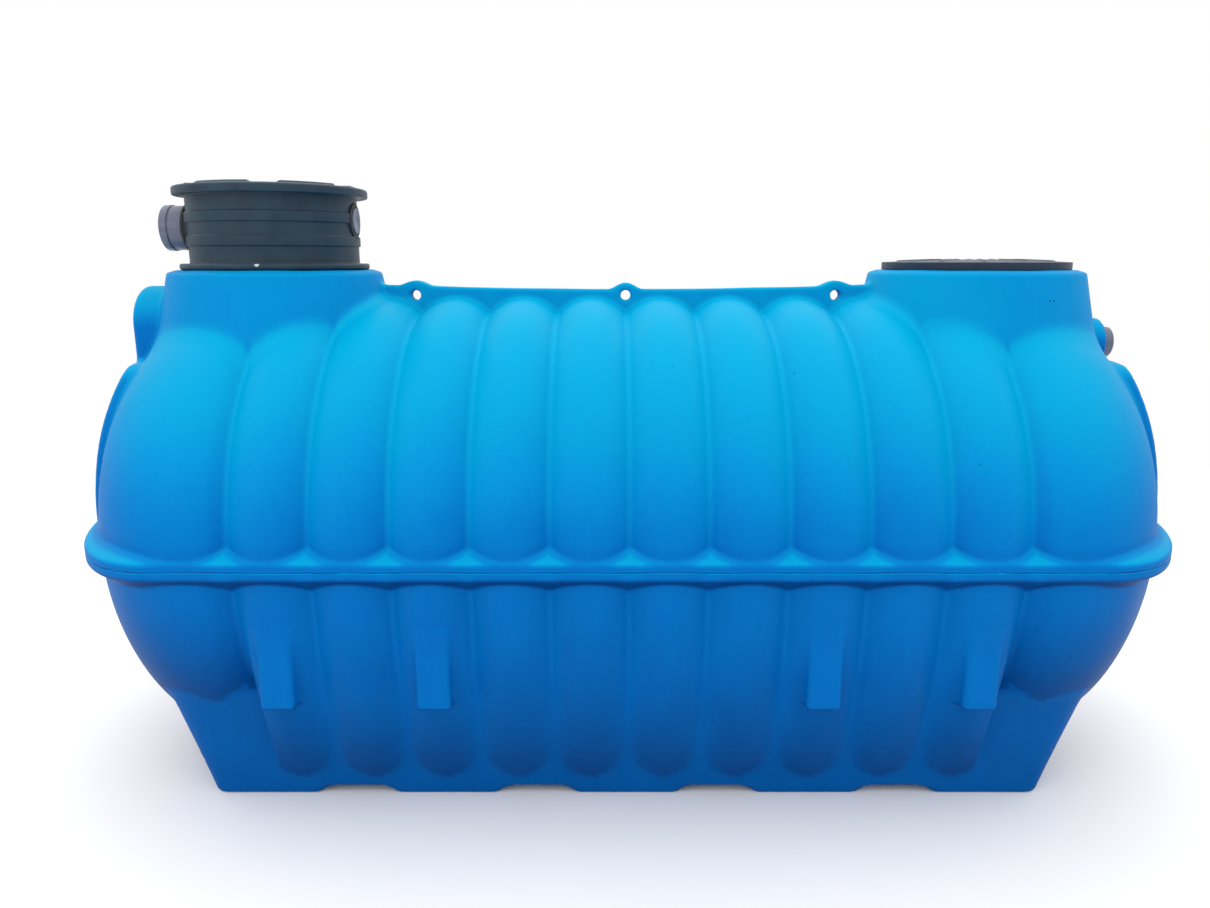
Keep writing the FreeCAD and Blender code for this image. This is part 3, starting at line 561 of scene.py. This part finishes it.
def settle(field, points):  # slide each point on to the surface itself
    p = points.copy()
    probe, farthest = bodyMesh["probe"], bodyMesh["farthest"]
    for _ in range(bodyMesh["settleRounds"]):
        here = field(*p.T)
        rise = [field(*(p + d).T) - field(*(p - d).T) for d in np.eye(3) * probe]
        slope = np.stack(rise, 1) / (2 * probe)
        steep = np.sqrt(np.maximum((slope ** 2).sum(1), bodyMesh["flattest"]))
        p -= slope * (np.clip(here / steep, -farthest, farthest) / steep)[:, None]
    return p


def facingOf(field, points, reach):  # which way the skin faces, taken over that reach along x, y and z
    slope = np.stack([(field(*(points + d).T) - field(*(points - d).T)) / d.max() for d in np.diag(reach)], 1)
    return slope / np.maximum(np.linalg.norm(slope, axis=1, keepdims=True), tiny)


paintedLightTones = {"reach": (98.5, 55, 55), "closeReach": (0.4, 0.4, 0.4), "closeBelow": 0.65, "closeOnForms": 0.8,
          "closeOnWeb": 0.5, "formRise": 16, "formFrom": 0.3, "formShare": 0.7, "rimReach": (60, 100),
          "closeOnRim": 0.35, "ledgeMost": 0.03, "neckSkin": 3, "neckMost": 0.3, "neckInward": 0.3,
          "endsAbove": 0.10, "endsBelow": 0.16, "footShade": 0.03, "baseTone": -0.29,
          "outward": 0.12, "outwardFrom": 400, "pastBarrel": 30, "valleyLift": 0.09, "valleyHalf": 24}


# Painted light and shade: the skin is paler where it faces the sky and deeper where it faces down; the ribs
# as one on top, each form by itself lower down.
def paintedLightOn(points):
    s = paintedLightTones
    x, y, z = points.T
    wide = facingOf(ribbedHull, points, s["reach"])
    close = facingOf(bodyField, points, s["closeReach"])
    above = z > hull["parting"]
    onBarrel = np.abs(x) < hull["barrelEnd"] + s["pastBarrel"]
    onBase = baseField(x, y, z) < baseTray["blend"] / 2
    onNeck = neckField(x, y, z) < s["neckSkin"]
    onForm = np.clip(ribbedHull(x, y, z) / s["formRise"] - s["formFrom"], 0, 1)
    onForm = s["closeOnForms"] * onForm
    onForm = np.where(webField(x, y, z) < web["blend"] / 2, s["closeOnWeb"], onForm)
    nearRim, farRim = s["rimReach"]
    onRim = s["closeOnRim"] * np.clip((hull["parting"] + farRim - z) / (farRim - nearRim), 0, 1)
    share = np.where(above, np.maximum(onForm, onRim), s["closeBelow"])
    # painted shade: ledges on the lower half are kept as deep as the shade of the flange, and the necks' tops
    # get only a little painted light
    shaded = z < hull["parting"] - rimFlange["half"]
    facing = np.where(shaded, np.minimum(close[:, 2], s["ledgeMost"]), close[:, 2])
    facing = np.where(onNeck, np.minimum(facing, s["neckMost"]), facing)
    sky = wide[:, 2] + share * (facing - wide[:, 2])
    # painted shade: the ends, the base and the foot near the floor are darker
    ends = np.where(above, s["endsAbove"], s["endsBelow"]) * wide[:, 0] ** 2
    sky, ends = np.where(onBase, s["baseTone"], sky), np.where(onBase, 0, ends)
    foot = s["footShade"] * np.clip(1 - z / baseTray["height"], 0, 1)
    # painted light: flanks that face out past the ends are paler than those that face the next rib
    outward = close[:, 0] * np.clip(x / s["outwardFrom"], -1, 1) * above * onBarrel * ~onNeck
    # painted light: the right neck is palest towards the ribs
    inward = np.clip(-close[:, 0], 0, 1) * onNeck * (x > 0)
    sky = sky + s["outward"] * outward + s["neckInward"] * inward
    # painted light: the valleys are lifted paler, against the shade that falls in them
    off = x - hull["ribPitch"] * np.round(x / hull["ribPitch"])
    valley = np.exp(-(off / s["valleyHalf"]) ** 2) * onBarrel * (share < s["formShare"]) * ~onBase
    return sky - ends - foot + s["valleyLift"] * valley


def mouldedBody():
    points, quads = skinOf(bodyField, *bodyGrid())
    points = settle(bodyField, points)
    points[:, 1] = np.clip(points[:, 1], -rimFlange["halfWidth"], rimFlange["halfWidth"])
    points[:, 2] = np.maximum(points[:, 2], 0)  # the feet are flat on the floor
    above = points[quads][:, :, 2].mean(1) > hull["parting"]
    # painted light and shade for the blue skin, kept on each point
    paintedLight = paintedLightOn(points)
    sides = ("left", "right")
    upperNodes = ["upper_shell_left", "upper_shell_left_middle", "upper_shell_middle",
                  "upper_shell_right_middle", "upper_shell_right", "upper_flange", "lifting_web",
                  "inlet_boss", "outlet_boss", "neck_right_skirt"]
    upperNodes += [n + s for n in ("upper_end_", "neck_", "end_panel_") for s in sides]
    lowerNodes = ["base_tray", "lower_flange"] + ["lower_end_" + s for s in sides]
    lowerNodes += [f + "_wall_" + s for f in ("front", "rear") for s in ("left", "middle", "right")]
    lowerNodes += [f + "_pad_" + s + n for f in ("front", "rear") for s in sides for n in ("_1", "_2")]
    halves = (("upperHalf", quads[above], upperNodes), ("lowerHalf", quads[~above], lowerNodes))
    for name, chosen, nodes in halves:
        used, renumbered = np.unique(chosen, return_inverse=True)
        piece = addPiece(name, points[used], renumbered.reshape(-1, 4), bluePlastic, nodes)
        tones = piece.data.attributes.new("paintedLight", "FLOAT", "POINT")
        tones.data.foreach_set("value", paintedLight[used].astype(np.float32))
        print(name, "skinned with", 2 * len(chosen), "triangles")


mouldedBody()

rounding = {"points": 5, "edgeShare": 0.45, "smallest": 0.05}
nearAxis = 0.01  # turned faces stop just short of the axis


# Small rounds on the corners of a turned section; the last corner joins the first.
def eased(section, radius):
    points = []
    for i, corner in enumerate(section):
        here = np.array(corner[:2], float)
        own = corner[2] if len(corner) > 2 else radius
        before = np.array(section[i - 1][:2], float)
        after = np.array(section[(i + 1) % len(section)][:2], float)
        back, on = before - here, after - here
        lengthBack, lengthOn = np.linalg.norm(back), np.linalg.norm(on)
        reach = min(own, rounding["edgeShare"] * lengthBack, rounding["edgeShare"] * lengthOn)
        if reach < rounding["smallest"]:
            points.append(here)
            continue
        for t in np.linspace(0, 1, rounding["points"]):
            points.append(here + back / lengthBack * reach * (1 - t) ** 2 + on / lengthOn * reach * t ** 2)
    return points


def turnedMesh(section, place, along, steps=180, shape=None):
    points, faces = [], []
    ring = len(section)
    for s in range(steps):
        a = 2 * math.pi * s / steps
        for r, h in section:
            if shape:
                r, h = shape(r, h, a)
            first, second = r * math.cos(a), r * math.sin(a)
            turned = (first, second, h) if along == "z" else (h, first, second)
            points.append([place[i] + turned[i] for i in range(3)])
    for s in range(steps):
        n = (s + 1) % steps
        for i in range(ring):
            j = (i + 1) % ring
            faces.append((s * ring + i, n * ring + i, n * ring + j, s * ring + j))
    return points, faces


def turnedPipe(name, section, ease, height, node):  # a grey pipe turned about a level line
    points, faces = turnedMesh(eased(section, ease), (0, 0, height), "x")
    addPiece(name, points, faces, greyPipe, [node])


def turnedSeal(name, section, ease, height, node):  # and the black ring that it sits in
    points, faces = turnedMesh(eased(section, ease), (0, 0, height), "x")
    addPiece(name, points, faces, blackRubber, [node])


def drill(radius, start, end, height):
    section = [(nearAxis, start), (radius, start), (radius, end), (nearAxis, end)]
    points, faces = turnedMesh(section, (0, 0, height), "x", 96)
    mesh = bpy.data.meshes.new("drill")
    mesh.from_pydata([[c * mm for c in p] for p in points], [], faces)
    mesh.materials.append(riserPlastic)
    tool = bpy.data.objects.new("drill", mesh)
    bpy.context.scene.collection.objects.link(tool)
    return tool


def cutWith(piece, cutter):  # a hole drilled through a finished piece, the drill taken away again
    cut = piece.modifiers.new("drill", "BOOLEAN")
    cut.operation, cut.object, cut.solver = "DIFFERENCE", cutter, "EXACT"
    ready = piece.evaluated_get(bpy.context.evaluated_depsgraph_get())
    drilled = bpy.data.meshes.new_from_object(ready)
    piece.modifiers.clear()
    piece.data = drilled
    bpy.data.objects.remove(cutter)


riserTube = {"x": -1012, "foot": 1418, "outer": 232, "inner": 224, "footOuter": 259.5, "footThick": 17,
             "footRoll": 7, "footCove": 4, "height": 212, "bands": (64, 128), "bandRise": 5, "bandWidth": 29,
             "bandUnder": 1.5, "bandBack": 2, "underRounds": (0.6, 1.2), "rimOuter": 250, "rimThick": 10,
             "rimCove": 3, "ease": 2.5, "steps": 240, "drillLong": 400, "sharpAngle": 50}


def riser():
    s = riserTube
    r, swell, rim = s["outer"], s["outer"] + s["bandRise"], s["height"] - s["rimThick"]
    crease, lip = s["underRounds"]
    back = s["bandBack"]
    section = [(s["inner"], 0), (s["footOuter"], 0, s["footRoll"]),
               (s["footOuter"], s["footThick"], s["footRoll"]), (r, s["footThick"], s["footCove"])]
    for band in s["bands"]:  # sharp under the band, eased on top of it
        top = band + s["bandWidth"]
        section += [(r, band, crease), (swell, band + s["bandUnder"], lip), (swell, top - back, back),
                    (r, top, back)]
    section += [(r, rim, s["rimCove"]), (s["rimOuter"], rim), (s["rimOuter"], s["height"]),
                (s["inner"], s["height"])]
    points, faces = turnedMesh(eased(section, s["ease"]), (s["x"], 0, s["foot"]), "z", s["steps"])
    tube = addPiece("riserTube", points, faces, riserPlastic, ["riser"])
    left, right = s["x"] - s["drillLong"], s["x"] + s["drillLong"]
    cutWith(tube, drill(inletPipe["radius"] + inletPipe["seal"], left, s["x"], inletPipe["height"]))
    cutWith(tube, drill(servicePlug["radius"] + servicePlug["seal"], s["x"], right, servicePlug["height"]))
    tube.data.polygons.foreach_set("use_smooth", [True] * len(tube.data.polygons))
    tube.data.set_sharp_from_angle(angle=math.radians(s["sharpAngle"]))


inletPipe = {"height": 1535, "radius": 62, "wall": 4, "mouth": -1318, "inside": -1211, "beadRise": 2.5,
             "bead": 23, "beadBack": 2, "lip": 9, "groove": 0.8, "grooveLong": 2, "grooveSlope": 1.5,
             "ease": 1.5, "seal": 8, "sealLip": 12, "sealRoll": 3, "rollIn": 2.5, "rollLong": 5,
             "notchFrom": 9, "notchRound": 1, "notchLong": 2, "notchDeep": 1.5, "sealEase": 1.5}


def inlet():
    s = inletPipe
    r, bead, groove = s["radius"], s["radius"] + s["beadRise"], s["groove"]
    bore, mouth, back = r - s["wall"], s["mouth"], s["beadBack"]
    end, far = mouth + s["bead"], mouth + s["bead"] + s["grooveLong"]
    # the socket's mouth swells over its rubber ring, with a groove on each side
    section = [(bore, mouth), (bead - groove, mouth), (bead - groove, mouth + s["lip"]),
               (bead, mouth + s["lip"] + s["grooveSlope"]), (bead, end - back, back), (r - groove, end),
               (r - groove, far), (r, far + s["grooveSlope"]), (r, s["inside"]), (bore, s["inside"])]
    turnedPipe("inletSocket", section, s["ease"], s["height"], "inlet_pipe")
    face = riserTube["x"] - riserTube["outer"] - s["sealLip"]
    outer, notch = r + s["seal"], face + s["notchFrom"]
    section = [(r, face), (outer - s["rollIn"], face, s["sealRoll"]),
               (outer, face + s["rollLong"], s["sealRoll"]), (outer, notch, s["notchRound"]),
               (outer - s["notchDeep"], notch + s["notchLong"]), (outer, s["inside"]), (r, s["inside"])]
    turnedSeal("inletRubber", section, s["sealEase"], s["height"], "inlet_seal")


servicePlug = {"height": 1555, "radius": 36, "wall": 4, "inside": -813, "face": -774, "faceRound": 2.5,
               "rim": 7, "rimDrop": 0.2, "rimStep": 1, "dish": 1.2, "cap": 4, "ease": 1.5, "seal": 14,
               "sealFace": -777, "sealRound": 4, "lip": 2.5, "lipDeep": 2, "sealEase": 1.2}


def service():
    s = servicePlug
    r, face, rim = s["radius"], s["face"], s["radius"] - s["rim"]
    bore, dish, floor = r - s["wall"], face - s["dish"], face - s["cap"]
    section = [(bore, s["inside"]), (r, s["inside"]), (r, face, s["faceRound"]), (rim, face - s["rimDrop"]),
               (rim - s["rimStep"], dish), (nearAxis, dish, 0), (nearAxis, floor, 0), (bore, floor)]
    turnedPipe("servicePlug", section, s["ease"], s["height"], "service_stub")
    outer, front = r + s["seal"], s["sealFace"]
    section = [(r, s["inside"]), (outer, s["inside"]), (outer, front, s["sealRound"]), (r + s["lip"], front),
               (r, front - s["lipDeep"])]
    turnedSeal("serviceRubber", section, s["sealEase"], s["height"], "service_seal")


outletPipe = {"height": 1208, "radius": 45, "wall": 4, "mouth": 1422, "inside": 1330, "bevel": 4,
              "bevelRound": 2, "bevelDrop": 1.2, "ease": 1.5, "seal": 8, "sealIn": 1378, "sealOut": 1394,
              "sealRound": 3, "lip": 2, "sealEase": 1.2}


def outlet():
    s = outletPipe
    r, mouth, lip, front = s["radius"], s["mouth"], s["lip"], s["sealOut"]
    bore, outer = r - s["wall"], r + s["seal"]
    section = [(bore, s["inside"]), (r, s["inside"]), (r, mouth - s["bevel"], s["bevelRound"]),
               (r - s["bevelDrop"], mouth), (bore, mouth)]
    turnedPipe("outletStub", section, s["ease"], s["height"], "outlet_pipe")
    section = [(r, s["sealIn"]), (outer, s["sealIn"]), (outer, front, s["sealRound"]), (r + lip, front, lip),
               (r, front - lip)]
    turnedSeal("outletRubber", section, s["sealEase"], s["height"], "outlet_seal")


def ramp(value, low, high):  # 0 to 1 with eased ends
    t = min(max((value - low) / (high - low), 0), 1)
    return t * t * (3 - 2 * t)


def withRings(section, reach, least, rings):  # closer rings on the flat of a lid, for what stands up from it
    i = max(k for k, p in enumerate(section) if p[0] > reach and p[1] > least)
    return section[:i + 1] + [np.array(p) for p in rings if p[0] < section[i][0]] + section[i + 1:]


riserLid = {"x": -1012, "seat": 1630, "outer": 263.5, "skirtInner": 251, "skirt": 23, "skirtRound": 5,
            "thick": 12, "lipRoll": 7, "crown": 4, "run": 30, "topRound": 6, "findTop": 8, "ease": 3,
            "steps": 288, "treads": 6, "treadRise": 5, "treadWidth": 34, "treadAngle": 42, "treadTurn": 14,
            "treadSlope": 4, "treadEnd": 5, "treadFrom": 0.5, "fineStep": 1.3, "wideStep": 6,
            "rings": (190, 4, -5), "ringRise": 1.5, "ringRun": 9}


def lidOnRiser():
    s = riserLid
    flat = s["outer"] - s["run"]
    inner, slope, fine = flat - s["treadWidth"], s["treadSlope"], s["fineStep"]

    def treads(r, h, a):
        turn = 360 / s["treads"]
        off = abs((math.degrees(a) - s["treadTurn"] + turn / 2) % turn - turn / 2) * math.pi / 180 * r
        half = s["treadAngle"] / 2 * math.pi / 180 * r
        across = ramp(r, inner, inner + slope) * (1 - ramp(r, flat - slope, flat))
        along = 1 - ramp(off, half - s["treadEnd"], half)
        onTop = h > s["thick"] + s["treadFrom"] and r < flat
        return r, h + (s["treadRise"] * across * along if onTop else 0)

    top, under = s["thick"] + s["crown"], s["thick"] - s["skirt"]
    section = eased([(s["skirtInner"], 0), (s["skirtInner"], under), (s["outer"], under, s["skirtRound"]),
                     (s["outer"], s["thick"], s["lipRoll"]), (flat, top, s["topRound"]), (nearAxis, top, 0),
                     (nearAxis, 0, 0)], s["ease"])
    treadRings = np.r_[np.arange(flat - 1, flat - slope - 1, -fine),
                       np.arange(flat - slope - 2, inner + slope + 1, -s["wideStep"]),
                       np.arange(inner + slope, inner - 1, -fine)]
    rings = [(r, top) for r in treadRings]
    rings += [(r, top + s["ringRise"] * math.sin(r / s["ringRun"]) ** 4) for r in np.arange(*s["rings"])]
    section = withRings(section, flat - s["findTop"], s["thick"], rings)
    points, faces = turnedMesh(section, (s["x"], 0, s["seat"]), "z", s["steps"], treads)
    addPiece("riserLid", points, faces, riserPlastic, ["riser_lid"])


neckLid = {"x": 1012, "seat": 1418, "outer": 257, "thick": 21, "bevel": 2, "bevelRun": 40, "crown": 8,
           "spigot": 224, "spigotDeep": 14, "edgeRounds": (1.5, 2.5, 6), "findTop": 8, "ease": 2.5,
           "steps": 360, "spokes": 12, "spokeWidth": 14, "spokeSides": (2.5, 1), "spokeRise": 3,
           "spokeLong": 110, "spokeEnds": (6, 5), "spokeFrom": 0.5, "notches": 24, "notchDeep": 2.4,
           "notchHalf": (3, 6), "notchStart": (6, 12), "notchEnd": (5, 1), "notchFrom": 4,
           "ringsFrom": 7, "ringsTo": 4, "ringStep": 3.5}


def lidOnNeck():
    s = neckLid
    flat = s["outer"] - s["bevelRun"]
    innerEnd, outerEnd = s["spokeEnds"]
    within, beyond = s["spokeSides"]

    def offLine(a, r, lines):  # how far a place is from the nearest of so many lines round the lid
        turn = 2 * math.pi / lines
        return abs((a + turn) % turn - turn / 2) * r

    def spokes(r, h, a):
        if h > s["thick"] - s["spokeFrom"] and r < flat:
            half, start = s["spokeWidth"] / 2, flat - s["spokeLong"]
            across = 1 - ramp(offLine(a, r, s["spokes"]), half - within, half + beyond)
            along = ramp(r, start, start + innerEnd) * (1 - ramp(r, flat - outerEnd, flat))
            h = h + s["spokeRise"] * across * along
        first, full = [flat + d for d in s["notchStart"]]
        if h > s["thick"] - s["notchFrom"] and r > first:  # finger notches round the bevel
            fade, last = [s["outer"] - d for d in s["notchEnd"]]
            across = 1 - ramp(offLine(a, r, s["notches"]), *s["notchHalf"])
            h = h - s["notchDeep"] * across * ramp(r, first, full) * (1 - ramp(r, fade, last))
        return r, h

    foot, edge, shoulder = s["edgeRounds"]
    crown, bevelTop = s["thick"] + s["crown"], s["thick"] + s["bevel"]
    section = eased([(s["spigot"], 0), (s["outer"], 0, foot), (s["outer"], s["thick"], edge),
                     (flat, bevelTop, shoulder), (nearAxis, crown, 0), (nearAxis, -s["spigotDeep"], 0),
                     (s["spigot"], -s["spigotDeep"])], s["ease"])
    ringPlaces = np.arange(flat - s["ringsFrom"], s["ringsTo"], -s["ringStep"])
    rings = [(r, bevelTop + (crown - bevelTop) * (1 - (r / flat) ** 2)) for r in ringPlaces]
    section = withRings(section, flat - s["findTop"], s["thick"] - 1, rings)
    points, faces = turnedMesh(section, (s["x"], 0, s["seat"]), "z", s["steps"], spokes)
    addPiece("neckLid", points, faces, lidPlastic, ["neck_lid"])


riser()
inlet()
service()
outlet()
lidOnRiser()
lidOnNeck()
print("riser, lids, pipes and seals turned")


studio = {"floor": "#F4F4F3", "floorWorn": "#EFEFEE", "rollerMm": 900, "floorHalfM": 6,
          "floorFadeM": (2.6, 5.5), "air": "#FFFFFF", "airGlow": (0.8, 1.8), "backdrop": 1.0}


def studioFloor():
    material, tree, shader = newMaterial("paintedFloor", {"Roughness": 0.85})
    place = addNode(tree, "TexCoord").outputs["Object"]
    roller = addNode(tree, "TexNoise", {"Scale": perMetre(studio["rollerMm"]), "Detail": 3.0},
                     {"Vector": place})
    pale = addNode(tree, "Mix", {"data_type": "RGBA", mixFrom: linearColour(studio["floor"]),
                                 mixTo: linearColour(studio["floorWorn"])}, {mixShare: roller.outputs["Fac"]})
    tree.links.new(pale.outputs[mixed], shader.inputs["Base Color"])
    # the painted floor runs out into the white of the studio, all round the tank
    away = addNode(tree, "VectorMath", {"operation": "LENGTH"}, {0: place})
    fading = {"interpolation_type": "SMOOTHSTEP", **span(studio["floorFadeM"], (1, 0))}
    fade = addNode(tree, "MapRange", fading, {"Value": away.outputs["Value"]})
    tree.links.new(fade.outputs[0], shader.inputs["Alpha"])
    half = studio["floorHalfM"]
    mesh = bpy.data.meshes.new("studioFloor")
    corners = [(-half, -half, 0), (half, -half, 0), (half, half, 0), (-half, half, 0)]
    mesh.from_pydata(corners, [], [(0, 1, 2, 3)])
    mesh.materials.append(material)
    floor = bpy.data.objects.new("studioFloor", mesh)
    bpy.context.scene.collection.objects.link(floor)


softbox = {"place": (-3.0, -3.6, 2.2), "aim": (0, 0, 0.7), "size": (1.6, 1.6), "power": 12, "tint": "#FFFFFF"}


def windowSoftbox():  # a small light from the front left, in metres and watts
    light = bpy.data.lights.new("windowSoftbox", "AREA")
    light.shape = "RECTANGLE"
    light.size, light.size_y = softbox["size"]
    light.energy = softbox["power"]
    light.color = linearColour(softbox["tint"])[:3]
    lamp = bpy.data.objects.new("windowSoftbox", light)
    lamp.location = softbox["place"]
    across, along, up = np.array(softbox["aim"], float) - np.array(softbox["place"], float)
    lamp.rotation_euler = (math.atan2(math.hypot(across, along), -up), 0, math.atan2(-across, along))
    bpy.context.scene.collection.objects.link(lamp)


# Light from all round, and most of it from above; the backdrop itself is seen as plain white.
def studioAir():
    world = bpy.data.worlds.new("studioAir")
    world.use_nodes = True
    tree = world.node_tree
    air = tree.nodes["Background"]
    air.inputs["Color"].default_value = linearColour(studio["air"])
    upward = addNode(tree, "SeparateXYZ", links={0: addNode(tree, "TexCoord").outputs["Generated"]})
    glow = addNode(tree, "MapRange", span(toPair=studio["airGlow"]), {"Value": upward.outputs["Z"]})
    seen = addNode(tree, "LightPath")
    share = addNode(tree, "MapRange", {"To Max": studio["backdrop"]},
                    {"Value": seen.outputs["Is Camera Ray"], "To Min": glow.outputs[0]})
    tree.links.new(share.outputs[0], air.inputs["Strength"])
    bpy.context.scene.world = world


studioFloor()
windowSoftbox()
studioAir()
bpy.context.scene.view_settings.view_transform = "Standard"  # plain colours, as in a product photograph

view = {"place": (-0.060, -2.674, 1.445), "pitch": 12.164, "focalPixels": 900, "imageWidth": 1210,
        "sensor": 36}
lens = bpy.data.cameras.new("photoCamera")
lens.sensor_fit = "HORIZONTAL"
lens.sensor_width = view["sensor"]
lens.lens = view["focalPixels"] * view["sensor"] / view["imageWidth"]
camera = bpy.data.objects.new("photoCamera", lens)
camera.location = view["place"]
camera.rotation_euler = (math.radians(90 - view["pitch"]), 0, 0)
bpy.context.scene.collection.objects.link(camera)
bpy.context.scene.camera = camera
print("studio set")
